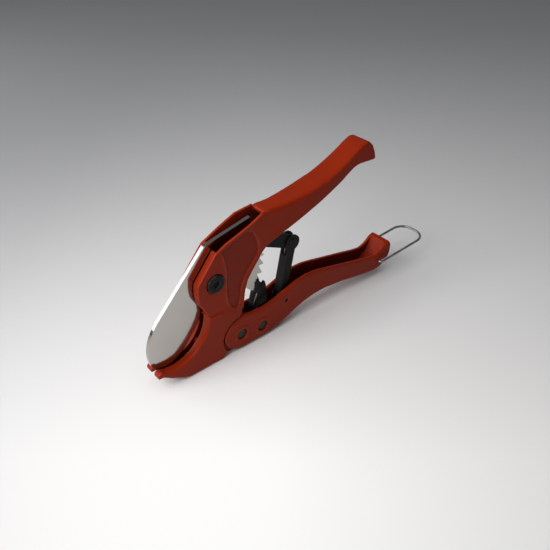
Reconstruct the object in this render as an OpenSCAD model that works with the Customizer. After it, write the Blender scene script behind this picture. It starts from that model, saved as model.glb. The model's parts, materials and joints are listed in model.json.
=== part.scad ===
// Ratcheting one-hand shear for plastic pipe.
// Millimetres, +Z up, X from the jaw (low) to the handle ends (high), Y across the tool.
// The pieces are laid out round the blade pivot and then moved onto a foot-level origin.

/* [Jaw and cheeks] */
// Width across the two cheeks
cheek_w = 16.5; // [15:0.5:19]
// Width across the jaw below the cheeks
jaw_w = 18.5; // [17:0.5:21]
// Width of the slot that the blade runs in
slot_w = 4.4; // [4:0.1:5]
// Chamfer along the cheeks' and jaw's outer edges
edge_cut = 1.4; // [0.8:0.1:2]
// Depth of the bare panel sunk in each cheek
panel_deep = 0.8; // [0.3:0.1:1.2]
// Width across the tips of the two prongs
prong_tip_w = 17; // [14:0.5:17.5]

/* [Upper handle] */
// Width of the handle's end
grip_end_w = 20.6; // [18.5:0.2:22]
// Wall thickness of the handle's channel
grip_wall = 2.5; // [2:0.1:3.2]
// Thickness of the handle's roof
grip_roof = 3; // [2:0.1:4]
// Rounding of the handles' long edges
grip_round = 2; // [1:0.1:2.6]
// Width of the window over the blade and the channel's start
window_w = 12.6; // [10.5:0.1:12.8]

/* [Blade] */
// Thickness of the blade
blade_t = 3; // [2.4:0.1:3.4]
// Pivot to the blade's nose, which the jaw and both handles follow in side view
nose_r = 77.3; // [70:0.1:86]
// Offset of the straight cutting edge from the pivot
edge_off = 11; // [8:0.5:13]
// Width of the ground bevel along the edge
bevel_w = 9; // [5:0.5:12]
// Tip radius of the ratchet teeth
tooth_r = 49.3; // [48:0.1:49.6]
// Depth of the ratchet teeth
tooth_deep = 4.3; // [3:0.1:5]
// Number of ratchet teeth
tooth_n = 7; // [5:1:7]
// Angle from tooth to tooth
tooth_pitch = 9.1; // [8:0.1:9.4]
// Turn of the blade from this drawing to fully closed
close_turn = 8; // [4:1:8]

/* [Pivot] */
// Outer diameter of the pivot bush
bush_d = 10; // [9:0.5:12]
// Diameter of the pivot screw's shank
screw_d = 6; // [5:0.5:7]
// Diameter of the pivot screw's head
screw_head_d = 15; // [13:0.5:16]
// Height of the pivot screw's head
screw_head_h = 2.2; // [1.8:0.1:3]
// Width across the nut's flats
nut_flats = 12; // [10:0.5:13]
// Height of the nut
nut_h = 3; // [2:0.1:4]
// Depth of the seats for the screw's head and the lock washer
seat_deep = 1.2; // [0.6:0.1:1.6]

/* [Lower handle] */
// Width of the handle at its hinge
lower_w = 18.5; // [18:0.25:20]
// Width of the handle at its end
lower_end_w = 22; // [20:0.25:24]
// Wall thickness of the handle's channel
lower_wall = 3.25; // [2.75:0.05:3.4]
// Thickness of the channel's floor
lower_floor = 3; // [2:0.1:3.2]
// Radius of the casting's hinge lug
lug_r = 10.6; // [9.5:0.1:10.8]
// Diameter of the hinge rivet and its neighbour on the pawl
rivet_d = 6; // [5:0.25:6.5]
// Diameter of the rivets' heads
rivet_head_d = 10; // [9:0.25:11]
// Height of the rivets' heads
rivet_head_h = 1.2; // [1:0.1:1.5]
// Depth of the seats for the rivets' heads
rivet_seat = 1.5; // [1:0.1:1.6]
// Thickness of the washers beside the hinge lug
hinge_washer_t = 0.5; // [0.3:0.1:0.8]

/* [Pawl] */
// Width of the folded pawl
pawl_w = 8; // [7.4:0.1:9]
// Sheet thickness of the pawl
pawl_t = 1.8; // [1.4:0.1:2]
// Wire of the pawl spring
pawl_wire_d = 0.9; // [0.7:0.05:1]
// Mean radius of the pawl spring's coil
pawl_coil_r = 4.8; // [4.4:0.1:5.2]
// Turns of the pawl spring's coil
pawl_coil_n = 2; // [1:1:2]

/* [Spring toggle] */
// Width of the folded spring arm
arm_w = 8.6; // [8.4:0.1:9.4]
// Sheet thickness of the arm
arm_t = 1.3; // [1:0.05:1.4]
// Depth of the arm across its length
arm_deep = 7; // [6:0.1:8]
// Sheet thickness of the link
link_t = 0.9; // [0.7:0.05:0.95]
// Radius of the knuckle where arm and link meet
knuckle_r = 6.8; // [6.2:0.1:7.4]
// Diameter of the pin in the knuckle
knuckle_d = 5; // [4:0.25:5.5]
// Diameter of the arm's pin in the lower handle
arm_pin_d = 4; // [3:0.25:4.5]
// Diameter of the cast stubs that hold the link
stub_d = 4; // [3:0.25:4.4]
// Room for the stubs in the link's eyes
stub_room = 1.35; // [1.3:0.05:1.5]
// Wire of the knuckle spring
knuckle_wire_d = 0.8; // [0.6:0.05:0.9]

/* [Bail] */
// Wire of the bail
bail_d = 2.2; // [1.8:0.1:2.8]
// Bail pivot to the far edge of the loop
bail_reach = 63; // [56:1:68]
// Width between the loop's wire centres
bail_w = 29; // [27:0.5:32]
// Radius of the loop's corners
bail_corner = 12; // [6:0.5:13]
// Tilt of the loop above the handle's line
bail_tilt = 3; // [0:0.5:6]
// Depth of the bail's pins in the handle's walls
bail_pin = 2.4; // [1.5:0.1:2.6]

/* [Fits] */
// Radial running clearance of pins and bores
run_gap = 0.05; // [0.02:0.01:0.1]
// Side clearance between neighbouring moving faces
side_gap = 0.1; // [0.06:0.01:0.12]
// Room round swinging shapes
swing_gap = 1; // [0.7:0.1:1.3]

/* [Hidden] */
$fn = 64;

// Colours as seen on the object
paint_red = [0.66, 0.13, 0.07];
blade_steel = [0.80, 0.80, 0.80];
black_oxide = [0.06, 0.06, 0.06];
rivet_grey = [0.25, 0.25, 0.25];
zinc_wire = [0.62, 0.61, 0.58];

// The side view is drawn for one blade length and scaled to the chosen one
drawn_nose_r = 77.3;
lay = nose_r / drawn_nose_r;
jaw_reach = 55 * lay;
jaw_drop = 73.5 * lay;
cradle_r = 32 * lay;

// Pivots, laid out from the blade pivot
hinge = lay * [20.5, -58];
pawl_at = hinge + lay * [20.7, -2.8];
arm_at = hinge + lay * [46, 10];
knuckle_at = lay * [76.5, 1];
stub_at = lay * [43, 17];
bail_at = hinge + lay * [154.5, 2];

// Half widths
cheek_h = cheek_w / 2;
jaw_h = jaw_w / 2;
lower_h = lower_w / 2;
lower_in = lower_h - lower_wall;
lug_h = lower_in - hinge_washer_t - 2 * side_gap;
window_h = window_w / 2;
pawl_h = pawl_w / 2;
arm_h = arm_w / 2;
arm_in = arm_h - arm_t;
link_h = arm_in - side_gap;
link_in = link_h - link_t;
stub_in = link_in + 0.1;

// Overall frame, from the blade's round nose to the bail's far edge
nose_top = lay * [-51, -23];
nose_c = lay * [-21.5, -42.5];
nose_round = norm(nose_top - nose_c);
bail_end = bail_at[0] + (bail_reach - bail_d / 2) * cos(bail_tilt) + bail_d / 2;
mid_x = (bail_end + nose_c[0] - nose_round) / 2;

function arc(c, r, a0, a1, n) =
    [for (i = [0:n]) c + r * [cos(a0 + (a1 - a0) * i / n), sin(a0 + (a1 - a0) * i / n)]];
function clamp(v, lo, hi) = max(lo, min(hi, v));
function blend(a, b, t) = a + (b - a) * clamp(t, 0, 1);
function unit(v) = v / norm(v);
function at3(p, y) = [p[0], y, p[1]];

// Side outlines, clockwise: the cheeks, and the jaw whose cradle, tip and nose path are arcs
cradle_c = lay * [-41, -27];
nose_room = 2;
prong_arc_r = nose_r + nose_room;
prong_tip_r = 3;
prong_tip_c = [prong_tip_r - jaw_reach, -59 * lay];
jaw_step_r = 27.5 * lay;
cheek_outline = lay * [
    [56, 39.6], [56, 16.6], [50, 13.4], [46.5, 10.2], [37, 2], [28.5, -10], [24.2, -23], [23.4, -36],
    [20, -46], [-5, -46], [-8.6, -27], [-13.4, -19.5], [-17.4, -8], [-18.2, 0], [-17.4, 5.8], [0, 26.8],
    [15, 34.2], [30, 40.4], [44, 41.8]
];
// The near cheek stands lower than the far one, with a plain edge along this line
near_line = lay * [
    [-15, -29], [-8.9, -23.5], [-14.9, -12], [-15.7, -4], [-14.8, 4], [1.6, 24.3], [12, 29.2], [22, 32.4],
    [33, 36.2], [46, 42.4]
];
jaw_outline = concat(
    arc([0, 0], jaw_step_r, 251.5, 296, 6),
    lay * [[22.6, -36.5], [22, -60]],
    [[2 * lay, -jaw_drop], [-27 * lay, -jaw_drop]],
    arc([0, 0], prong_arc_r, 248.2, 230.5, 5),
    arc(prong_tip_c, prong_tip_r, 220, 50, 5),
    [[-48 * lay, cradle_c[1] - cradle_r + 1]],
    arc(cradle_c, cradle_r, 270, 360, 14)
);

// Bare crescent panel on the cheeks
panel_outline = lay * [
    [7, 24], [18, 28.4], [29, 32], [34.5, 30], [36, 24], [33, 15], [27, 5], [21, -8], [17, -21],
    [14.6, -28], [12.6, -28], [11.2, -18], [10.6, -6], [10.6, 6], [9.6, 14]
];

// Stations of the upper handle: along X, top, lower edge
grip_stations = lay * [
    [42, 40.2, 8.6], [49, 41.9, 12], [62, 41.2, 17], [76, 40.9, 22.4], [90, 42, 28], [105, 45.7, 34.1],
    [120, 52.6, 40.7], [130, 58.6, 46.2], [136, 62.3, 48.9], [141, 65, 49.8], [146, 66.6, 49.6],
    [150, 66.2, 49.4], [153.5, 63, 49.2], [156.3, 57, 49.2], [157.5, 52, 49.6]
];
function grip_h(x) =
    x < 46 * lay ? cheek_h - 1.2 : blend(cheek_h + 0.08, grip_end_w / 2, (x / lay - 49) / 101);

// Stations of the lower handle, from its hinge: along X, top, bottom
shoulder = lay * [11, 15.2];
lower_stations = lay * [
    [-15.9, 2.8, -0.4], [-14.9, 6.6, -4.2], [-12.5, 10.4, -8.4], [-8.5, 13.8, -11.8], [-4.5, 15.8, -13.7],
    [0, 16.8, -14.3], [5, 16.6, -14.4], [11, 15.2, -14.4], [20, 14.8, -14.3], [28, 15.4, -13.6],
    [37, 17.3, -11.9], [46, 20.4, -8.8], [56, 23.6, -4.4], [66, 25.2, -1], [77, 24.8, 0.9], [90, 22, 1.4],
    [110, 17.3, -0.9], [130, 12.7, -4.6], [140, 10.2, -6.3], [149, 8.7, -7.3], [157, 10.4, -6.8],
    [164, 13.9, -3.6], [168, 14.8, 1], [169.7, 12.4, 5.6]
];
function lower_half(x) = blend(lower_h, lower_end_w / 2, (x / lay - 40) / 115);
// Where the channel's floor starts, and the slope that closes the channel at the end
floor_start = -6 * lay;
floor_rise = 140 * lay;
function floor_z(x, z) = z + lower_floor + pow(max(0, x - floor_rise), 2) / (42 * lay);

// Ring of points for a rounded box section across X
function ring_corner(cy, cz, r, a0) =
    [for (i = [0:3]) [cy + r * cos(a0 + 30 * i), cz + r * sin(a0 + 30 * i)]];
function box_ring(x, h, zt, zb, r0) =
    let (r = min(r0, (zt - zb) / 2 - 0.05, h - 0.05))
    let (flat = concat(
        ring_corner(h - r, zt - r, r, 0), ring_corner(-h + r, zt - r, r, 90),
        ring_corner(-h + r, zb + r, r, 180), ring_corner(h - r, zb + r, r, 270)))
    [for (p = flat) [x, p[0], p[1]]];

// A cap for a hollow outline is cut into triangles, one ear at a time
function turn(a, b, c) = (b[0] - a[0]) * (c[1] - a[1]) - (b[1] - a[1]) * (c[0] - a[0]);
function within(p, a, b, c) = turn(a, b, p) <= 0 && turn(b, c, p) <= 0 && turn(c, a, p) <= 0;
function is_ear(p, ids, k) =
    let (n = len(ids))
    let (a = ids[(k + n - 1) % n], b = ids[k], c = ids[(k + 1) % n])
    turn(p[a], p[b], p[c]) < 0
        && len([for (i = ids) if (i != a && i != b && i != c && within(p[i], p[a], p[b], p[c])) i]) == 0;
function ears(p, ids) =
    let (n = len(ids))
    n == 3 ? [ids] :
    let (k = [for (i = [0:n - 1]) if (is_ear(p, ids, i)) i][0])
    let (rest = [for (i = [0:n - 1]) if (i != k) ids[i]])
    concat([[ids[(k + n - 1) % n], ids[k], ids[(k + 1) % n]]], ears(p, rest));

module skin(rings, cap = undef) {
    n = len(rings[0]);
    m = len(rings);
    near_cap = cap == undef ? [[for (j = [0:n - 1]) j]] : cap;
    polyhedron(
        points = [for (g = rings) for (p = g) p],
        faces = concat(
            near_cap,
            [for (t = near_cap) [for (j = [len(t) - 1:-1:0]) (m - 1) * n + t[j]]],
            [for (i = [0:m - 2]) for (j = [0:n - 1]) let (k = (j + 1) % n)
                [i * n + j, (i + 1) * n + j, (i + 1) * n + k]],
            [for (i = [0:m - 2]) for (j = [0:n - 1]) let (k = (j + 1) % n)
                [i * n + j, (i + 1) * n + k, i * n + k]]
        ),
        convexity = 6
    );
}

// Wound wire: a ring of six points at each point of the path, square to it
function tangent(p, i) = unit(p[min(i + 1, len(p) - 1)] - p[max(i - 1, 0)]);
function wire_ring(p, i, r) =
    let (t = tangent(p, i))
    let (u = unit(cross(t, [0, 1, 0])))
    let (v = cross(t, u))
    [for (k = [0:5]) p[i] + r * (cos(60 * k) * v + sin(60 * k) * u)];
module wire(path, d) {
    skin([for (i = [0:len(path) - 1]) wire_ring(path, i, d / 2)]);
}
function least_gap(p, d, apart) =
    min([for (i = [0:len(p) - 1]) for (j = [i + apart:1:len(p) - 1]) norm(p[i] - p[j])]) - d;
function coil(c, r, y0, y1, a0, a1, n) =
    [for (i = [0:n]) let (a = blend(a0, a1, i / n)) at3(c + r * [cos(a), sin(a)], blend(y0, y1, i / n))];

// Shared placing and shape helpers
module placed() {
    translate([-mid_x, 0, jaw_drop]) children();
}
module slab(w) {
    rotate([90, 0, 0]) linear_extrude(w, center = true) children();
}
module side_slab(y0, y1) {
    rotate([90, 0, 0]) translate([0, 0, -y1]) linear_extrude(y1 - y0) children();
}
module both_sides() {
    children();
    mirror([0, 1, 0]) children();
}
module cross_pin(at, r, y0, y1) {
    side_slab(y0, y1) translate(at) circle(r = r);
}
// Slab with chamfered rims, from a clockwise outline
function in_normal(u) = [u[1], -u[0]];
function inset(p, d) =
    let (n = len(p))
    [for (i = [0:n - 1])
        let (u = in_normal(unit(p[i] - p[(i + n - 1) % n])))
        let (v = in_normal(unit(p[(i + 1) % n] - p[i])))
        p[i] + d * (u + v) / (1 + u * v)];
module soft_slab(outline, w) {
    inner = inset(outline, edge_cut);
    skin([
        [for (q = inner) at3(q, -w / 2)], [for (q = outline) at3(q, edge_cut - w / 2)],
        [for (q = outline) at3(q, w / 2 - edge_cut)], [for (q = inner) at3(q, w / 2)]
    ], ears(inner, [for (i = [0:len(inner) - 1]) i]));
}
module washer(at, ro, ri, y0, y1) {
    side_slab(y0, y1) translate(at) difference() {
        circle(r = ro);
        circle(r = ri);
    }
}
module rivet(at, r, outer_y) {
    cross_pin(at, r, -outer_y, outer_y);
    both_sides() translate(at3(at, -outer_y)) rotate([90, 0, 0]) {
        cylinder(r = rivet_head_d / 2, h = rivet_head_h * 0.55);
        translate([0, 0, rivet_head_h * 0.55])
            cylinder(r1 = rivet_head_d / 2, r2 = rivet_head_d / 2 - 1.6, h = rivet_head_h * 0.45);
    }
}

// Body casting
module blade_room() {
    circle(r = tooth_r + 1.9);
    intersection() {
        circle(r = prong_arc_r + 3);
        rotate(232 + close_turn) translate([0, -140]) square([95, 140 + edge_off + swing_gap]);
    }
}
module grip_solid() {
    skin([for (s = grip_stations) box_ring(s[0], grip_h(s[0]), s[1], s[2], grip_round)]);
}
module grip_channel() {
    skin([for (s = grip_stations) if (s[0] < 149 * lay)
        let (lead = s[0] < 45 * lay ? 4 : 0)
        box_ring(s[0] - lead, grip_h(s[0]) - grip_wall, s[1] - grip_roof, s[2] - 12, 0.6)]);
}
module window_room() {
    polygon(lay * [
        [3, 60], [3, 15], [26, 13], [33, 8], [36, -6], [47, -6], [47, 36], [45.6, 36], [45.6, 60]
    ]);
}
module near_cut() {
    polygon(concat(near_line, lay * [[46, 60], [-45, 60], [-45, -29]]));
}
module lug_shape() {
    translate(hinge) circle(r = lug_r);
    polygon([
        lay * [-3, -41], lay * [21.4, -34.5], hinge + (lug_r - 0.6) * [cos(25), sin(25)],
        hinge + (lug_r - 0.6) * [cos(250), sin(250)], hinge + lay * [-22.5, -8.5]
    ]);
}
// Room for the lower handle's round front, and for its shoulder as the handle closes
module hinge_room() {
    translate(hinge) circle(r = 16.8 * lay + swing_gap);
    intersection() {
        translate(hinge) circle(r = norm(shoulder) + 0.6);
        translate(hinge - [1, 0]) square(40 * lay);
    }
}
module prong_taper() {
    root = 30 * lay;
    run = jaw_reach - root;
    lean = atan((jaw_w - prong_tip_w) / 2 / run);
    both_sides() translate([-root, -jaw_h, -100]) rotate([0, 0, 180 - lean]) cube([60, 20, 100]);
}
module body_casting() {
    color(paint_red) placed() union() {
        difference() {
            union() {
                difference() {
                    union() {
                        difference() {
                            soft_slab(cheek_outline, cheek_w);
                            side_slab(-cheek_w, 0) near_cut();
                        }
                        soft_slab(jaw_outline, jaw_w);
                        grip_solid();
                    }
                    prong_taper();
                    slab(60) hinge_room();
                    both_sides() side_slab(cheek_h - panel_deep, cheek_h + 3) polygon(panel_outline);
                    grip_channel();
                    slab(window_w) window_room();
                }
                slab(2 * lug_h) lug_shape();
            }
            slab(slot_w) blade_room();
            cross_pin([0, 0], screw_d / 2 + run_gap, -30, 30);
            cross_pin([0, 0], screw_head_d / 2 + 0.4, -30, -cheek_h + seat_deep);
            cross_pin([0, 0], screw_head_d / 2 + 0.4, cheek_h - seat_deep, 30);
            cross_pin(hinge, rivet_d / 2 + run_gap, -30, 30);
        }
        both_sides() cross_pin(stub_at, stub_d / 2, stub_in, window_h + 1);
    }
}

// Blade, drawn nearly closed
edge_dir = 232;
edge_d = [cos(edge_dir), sin(edge_dir)];
edge_n = [-edge_d[1], edge_d[0]];
spine_front = lay * [-46.5, -16.5];
spine_bend = lay * [-3.5, 29.5];
spine_rear = lay * [37.5, 38];
nose_a0 = atan2(nose_top[1] - nose_c[1], nose_top[0] - nose_c[0]);
nose_lean = (nose_r * nose_r - nose_c * nose_c - nose_round * nose_round) / (2 * nose_round * norm(nose_c));
nose_a1 = 360 + atan2(nose_c[1], nose_c[0]) - acos(nose_lean);
nose_meet = nose_c + nose_round * [cos(nose_a1), sin(nose_a1)];
tip_a0 = 360 + atan2(nose_meet[1], nose_meet[0]);
tip_a1 = edge_dir + asin(edge_off / nose_r);
tooth_a0 = -37;
tooth_root = tooth_r - tooth_deep;
blade_outline = concat(
    [spine_rear, spine_bend, spine_front],
    arc(nose_c, nose_round, nose_a0, nose_a1, 8),
    arc([0, 0], nose_r, tip_a0 + 1, tip_a1 - 1.5, 4),
    [(nose_r - 4) * edge_d + edge_off * edge_n],
    [16 * lay * edge_d + edge_off * edge_n],
    lay * [[7, -17.5], [17, -15.5], [30.5, -21]],
    [for (i = [0:tooth_n - 1]) for (q = [[tooth_root, 0], [tooth_r, 0.6], [tooth_r, 1.8]])
        q[0] * [cos(tooth_a0 + i * tooth_pitch + q[1]), sin(tooth_a0 + i * tooth_pitch + q[1])]],
    [tooth_root * [cos(tooth_a0 + tooth_n * tooth_pitch), sin(tooth_a0 + tooth_n * tooth_pitch)]]
);
module blade() {
    lean = atan((blade_t - 0.3) / 2 / bevel_w);
    color(blade_steel) placed() rotate([90, 0, 0]) difference() {
        linear_extrude(blade_t, center = true) difference() {
            polygon(blade_outline);
            circle(r = bush_d / 2 + run_gap);
        }
        rotate(edge_dir) for (s = [0, 1]) mirror([0, 0, s])
            translate([14, edge_off - bevel_w, blade_t / 2]) rotate([-lean, 0, 0]) cube([80, 30, 12]);
    }
}
module blade_washers() {
    color(zinc_wire) placed() both_sides()
        washer([0, 0], 11, bush_d / 2 + run_gap, blade_t / 2 + side_gap / 2, slot_w / 2 - side_gap / 2);
}

// Pivot
module pivot_bush() {
    color(zinc_wire) placed()
        washer([0, 0], bush_d / 2, screw_d / 2 + run_gap, -slot_w / 2 + 0.03, slot_w / 2 - 0.03);
}
module pivot_screw() {
    far_end = cheek_h - seat_deep + 1 + nut_h + 0.6;
    color(black_oxide) placed() difference() {
        union() {
            cross_pin([0, 0], screw_d / 2, -cheek_h + seat_deep - side_gap, far_end);
            translate([0, -cheek_h + seat_deep - side_gap, 0]) rotate([90, 0, 0]) {
                cylinder(r = screw_head_d / 2, h = screw_head_h - 0.6);
                translate([0, 0, screw_head_h - 0.6])
                    cylinder(r1 = screw_head_d / 2, r2 = screw_head_d / 2 - 0.6, h = 0.6);
            }
        }
        translate([0, -cheek_h + seat_deep - screw_head_h - 1, 0]) rotate([-90, 0, 0])
            cylinder(r = 3.2, h = 2.4, $fn = 6);
    }
}
module lock_washer() {
    color(zinc_wire) placed()
        washer([0, 0], 6.6, screw_d / 2 + run_gap, cheek_h - seat_deep + 0.05, cheek_h - seat_deep + 0.95);
}
module pivot_nut() {
    color(black_oxide) placed() rotate([90, 0, 0]) translate([0, 0, -cheek_h + seat_deep - 1 - nut_h])
        linear_extrude(nut_h) difference() {
            circle(r = nut_flats / 2 / cos(30), $fn = 6);
            circle(r = screw_d / 2 + run_gap);
        }
}

// Lower handle
module lower_solid() {
    translate(at3(hinge, 0))
        skin([for (s = lower_stations) box_ring(s[0], lower_half(s[0]), s[1], s[2], grip_round)]);
}
module lower_room() {
    translate(at3(hinge, 0)) {
        skin([for (x = [-30, floor_start]) box_ring(x, lower_in, 60, -40, 0.5)]);
        skin([for (s = lower_stations) if (s[0] > -10 * lay && s[0] < 165 * lay)
            box_ring(s[0] - 0.2, lower_half(s[0]) - lower_wall, s[1] + 30, floor_z(s[0], s[2]), 1)]);
    }
}
// Notch under the end's lip, behind the bail's pins
module lip_notch() {
    translate(hinge) polygon(lay * [[157.3, 0.4], [176, 0.4], [176, -12], [161.4, -12], [161.4, -3.1]]);
}
module lower_handle() {
    seat_y = lower_h - rivet_seat;
    color(paint_red) placed() difference() {
        lower_solid();
        lower_room();
        for (at = [hinge, pawl_at]) {
            cross_pin(at, rivet_d / 2 + run_gap, -30, 30);
            cross_pin(at, rivet_head_d / 2 + 0.9, -30, -seat_y);
            cross_pin(at, rivet_head_d / 2 + 0.9, seat_y, 30);
        }
        cross_pin(arm_at, arm_pin_d / 2 + run_gap, -30, 30);
        both_sides() cross_pin(bail_at, bail_d / 2 + run_gap, lower_end_w / 2 - bail_pin - 0.2, 30);
        slab(60) lip_notch();
    }
}
module hinge_rivet() {
    color(rivet_grey) placed() rivet(hinge, rivet_d / 2, lower_h - rivet_seat + side_gap);
}
module hinge_washers() {
    color(zinc_wire) placed() both_sides()
        washer(hinge, 8, rivet_d / 2 + run_gap, lug_h + side_gap, lower_in - side_gap);
}
module pawl_rivet() {
    color(rivet_grey) placed() rivet(pawl_at, rivet_d / 2, lower_h - rivet_seat + 0.04);
}
module pawl_spacers() {
    color(zinc_wire) placed() both_sides()
        washer(pawl_at, 4.6, rivet_d / 2 + run_gap, pawl_h + side_gap, lower_in - side_gap);
}
// Half widths of the lower handle and of its channel at the arm's pin
arm_outer_h = lower_half(arm_at[0] - hinge[0]);
arm_room_h = arm_outer_h - lower_wall;
module arm_pin() {
    arm_pin_h = arm_outer_h - 0.4;
    color(rivet_grey) placed()
        cross_pin(arm_at, arm_pin_d / 2, -arm_pin_h, arm_pin_h);
}
module arm_spacers() {
    color(zinc_wire) placed() both_sides()
        washer(arm_at, 3.4, arm_pin_d / 2 + run_gap, arm_h + side_gap, arm_room_h - side_gap);
}

// Pawl: two side walls joined by a front web whose top edge works on the teeth
pawl_a = -26.5;
pawl_tip = (tooth_r + 0.5) * [cos(pawl_a), sin(pawl_a)];
pawl_foot = pawl_at + lay * [-3.2, 15];
pawl_dir = unit(pawl_tip - pawl_foot);
pawl_out = [-pawl_dir[1], pawl_dir[0]];
module pawl_web() {
    back = -pawl_t * pawl_out;
    polygon([pawl_tip, pawl_foot, pawl_foot + back, pawl_tip + back - 1.2 * pawl_dir]);
}
module pawl_wall() {
    difference() {
        union() {
            translate(pawl_at) circle(r = 7.6);
            polygon([
                pawl_tip - 2.2 * pawl_dir, pawl_foot, pawl_at + [-7.5, 1.2], pawl_at + [7.6, 0],
                pawl_at + [9.4, 6], pawl_at + lay * [9.2, 13], pawl_at + lay * [7.9, 20.5],
                pawl_tip + [4, -9.6], pawl_tip + [3.6, -3.4], pawl_tip + [2.4, 0.9]
            ]);
        }
        translate(pawl_at) circle(r = rivet_d / 2 + run_gap);
    }
}
module pawl() {
    color(black_oxide) placed() {
        both_sides() side_slab(pawl_h - pawl_t, pawl_h) pawl_wall();
        slab(pawl_w - 0.02) pawl_web();
    }
}
pawl_coil_h = pawl_h - pawl_t - pawl_wire_d / 2 - 0.3;
pawl_leg_top = pawl_tip - 10 * pawl_dir + (pawl_wire_d / 2 + 0.3) * pawl_out;
pawl_leg_foot = pawl_foot + pawl_dir + (pawl_wire_d / 2 + 0.3) * pawl_out;
pawl_spring_path = concat(
    [at3(pawl_at + [5.4, -pawl_coil_r - 0.1], pawl_coil_h)],
    [at3(pawl_at + [2.4, -pawl_coil_r], pawl_coil_h)],
    coil(pawl_at, pawl_coil_r, pawl_coil_h, -pawl_coil_h, 270, 540 - 360 * pawl_coil_n, 8 * pawl_coil_n - 6),
    [at3(pawl_at + [-pawl_coil_r - 0.5, 6], -pawl_coil_h - 0.05)],
    [at3(pawl_leg_foot, -pawl_coil_h - 0.1), at3(pawl_leg_top, -pawl_h + 1.1)]
);
module pawl_spring() {
    color(zinc_wire) placed() wire(pawl_spring_path, pawl_wire_d);
}

// Spring toggle
arm_dir = unit(knuckle_at - arm_at);
arm_front = [-arm_dir[1], arm_dir[0]];
arm_len = norm(knuckle_at - arm_at);
link_dir = unit(stub_at - knuckle_at);
link_up = [link_dir[1], -link_dir[0]];
link_len = norm(stub_at - knuckle_at);
module along(at, dir) {
    translate(at) rotate(atan2(dir[1], dir[0])) children();
}
module arm_wall() {
    difference() {
        union() {
            translate(knuckle_at) circle(r = knuckle_r);
            along(arm_at, arm_dir) translate([0, -arm_deep / 2]) square([arm_len, arm_deep]);
            translate(arm_at) circle(r = arm_deep / 2);
        }
        translate(knuckle_at) circle(r = knuckle_d / 2 + run_gap);
        translate(arm_at) circle(r = arm_pin_d / 2 + run_gap);
    }
}
module spring_arm() {
    color(black_oxide) placed() {
        both_sides() side_slab(arm_in, arm_h) arm_wall();
        slab(arm_w - 0.02) along(arm_at, arm_dir)
            translate([5, arm_deep / 2 - arm_t]) square([arm_len - 17, arm_t]);
    }
}
link_deep = 2 * knuckle_r - 2.6;
eye_shift = [-0.3, 0.1];
eye_r = stub_d / 2 + stub_room;
module link_wall() {
    difference() {
        union() {
            translate(knuckle_at) circle(r = knuckle_r - 0.6);
            along(knuckle_at, link_dir) translate([0, -link_deep / 2]) square([link_len, link_deep]);
            translate(stub_at) circle(r = link_deep / 2);
        }
        translate(knuckle_at) circle(r = knuckle_d / 2 + run_gap);
        translate(stub_at + eye_shift) circle(r = eye_r);
    }
}
module spring_link() {
    color(black_oxide) placed() {
        both_sides() side_slab(link_in, link_h) link_wall();
        slab(2 * link_h - 0.02) along(knuckle_at, link_dir)
            translate([4, -link_deep / 2]) square([13, link_t]);
    }
}
module knuckle_pin() {
    color(rivet_grey) placed() {
        cross_pin(knuckle_at, knuckle_d / 2, -arm_h - 0.05, arm_h + 0.05);
        both_sides() cross_pin(knuckle_at, knuckle_d / 2 + 1, arm_h + 0.05, arm_h + 0.75);
    }
}
knuckle_coil_h = link_in - knuckle_wire_d / 2 - 0.2;
knuckle_coil_r = knuckle_d / 2 + knuckle_wire_d / 2 + 0.3;
knuckle_arm_end = knuckle_at - 24 * arm_dir + (arm_deep / 2 - arm_t - knuckle_wire_d / 2 - 0.3) * arm_front;
knuckle_arm_mid = knuckle_arm_end + 13 * arm_dir;
knuckle_link_end = knuckle_at + 7.5 * link_dir - knuckle_coil_r * link_up;
arm_turn = atan2(arm_dir[1], arm_dir[0]);
link_turn = atan2(link_dir[1], link_dir[0]);
knuckle_spring_path = concat(
    [at3(knuckle_arm_end, knuckle_coil_h + 0.05), at3(knuckle_arm_mid, knuckle_coil_h + 0.05)],
    coil(knuckle_at, knuckle_coil_r, knuckle_coil_h, -knuckle_coil_h, arm_turn + 105, link_turn - 630, 22),
    [at3(knuckle_link_end, -knuckle_coil_h - 0.05)]
);
module knuckle_spring() {
    color(zinc_wire) placed() wire(knuckle_spring_path, knuckle_wire_d);
}

// Wire bail: two legs, two rounded corners, and ends bent into the lower handle
module bail_bend(r, a0) {
    rotate(a0) rotate_extrude(angle = 90, $fn = 48) translate([r, 0]) circle(r = bail_d / 2, $fn = 16);
}
module rod(len) {
    cylinder(r = bail_d / 2, h = len, $fn = 16);
}
module wire_bail() {
    leg_y = bail_w / 2;
    foot_r = 2.5;
    cross_x = bail_reach - bail_d / 2;
    pin_in = lower_end_w / 2 - bail_pin;
    color(zinc_wire) placed() translate(at3(bail_at, 0)) rotate([0, -bail_tilt, 0]) {
        both_sides() {
            translate([0, pin_in, 0]) rotate([-90, 0, 0]) rod(leg_y - foot_r - pin_in);
            translate([foot_r, leg_y - foot_r, 0]) bail_bend(foot_r, 90);
            translate([foot_r, leg_y, 0]) rotate([0, 90, 0]) rod(cross_x - bail_corner - foot_r);
            translate([cross_x - bail_corner, leg_y - bail_corner, 0]) bail_bend(bail_corner, 0);
        }
        translate([cross_x, -leg_y + bail_corner, 0]) rotate([-90, 0, 0]) rod(bail_w - 2 * bail_corner);
    }
}

// Least gap of each wound wire to itself
echo(pawl_spring_gap = least_gap(pawl_spring_path, pawl_wire_d, 6));
echo(knuckle_spring_gap = least_gap(knuckle_spring_path, knuckle_wire_d, 6));

body_casting();
pivot_screw();
pivot_nut();
lock_washer();
pivot_bush();
hinge_rivet();
blade();
blade_washers();
lower_handle();
hinge_washers();
pawl_rivet();
pawl_spacers();
arm_pin();
arm_spacers();
pawl();
pawl_spring();
spring_arm();
knuckle_pin();
knuckle_spring();
spring_link();
wire_bail();
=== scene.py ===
import json
import math

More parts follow.
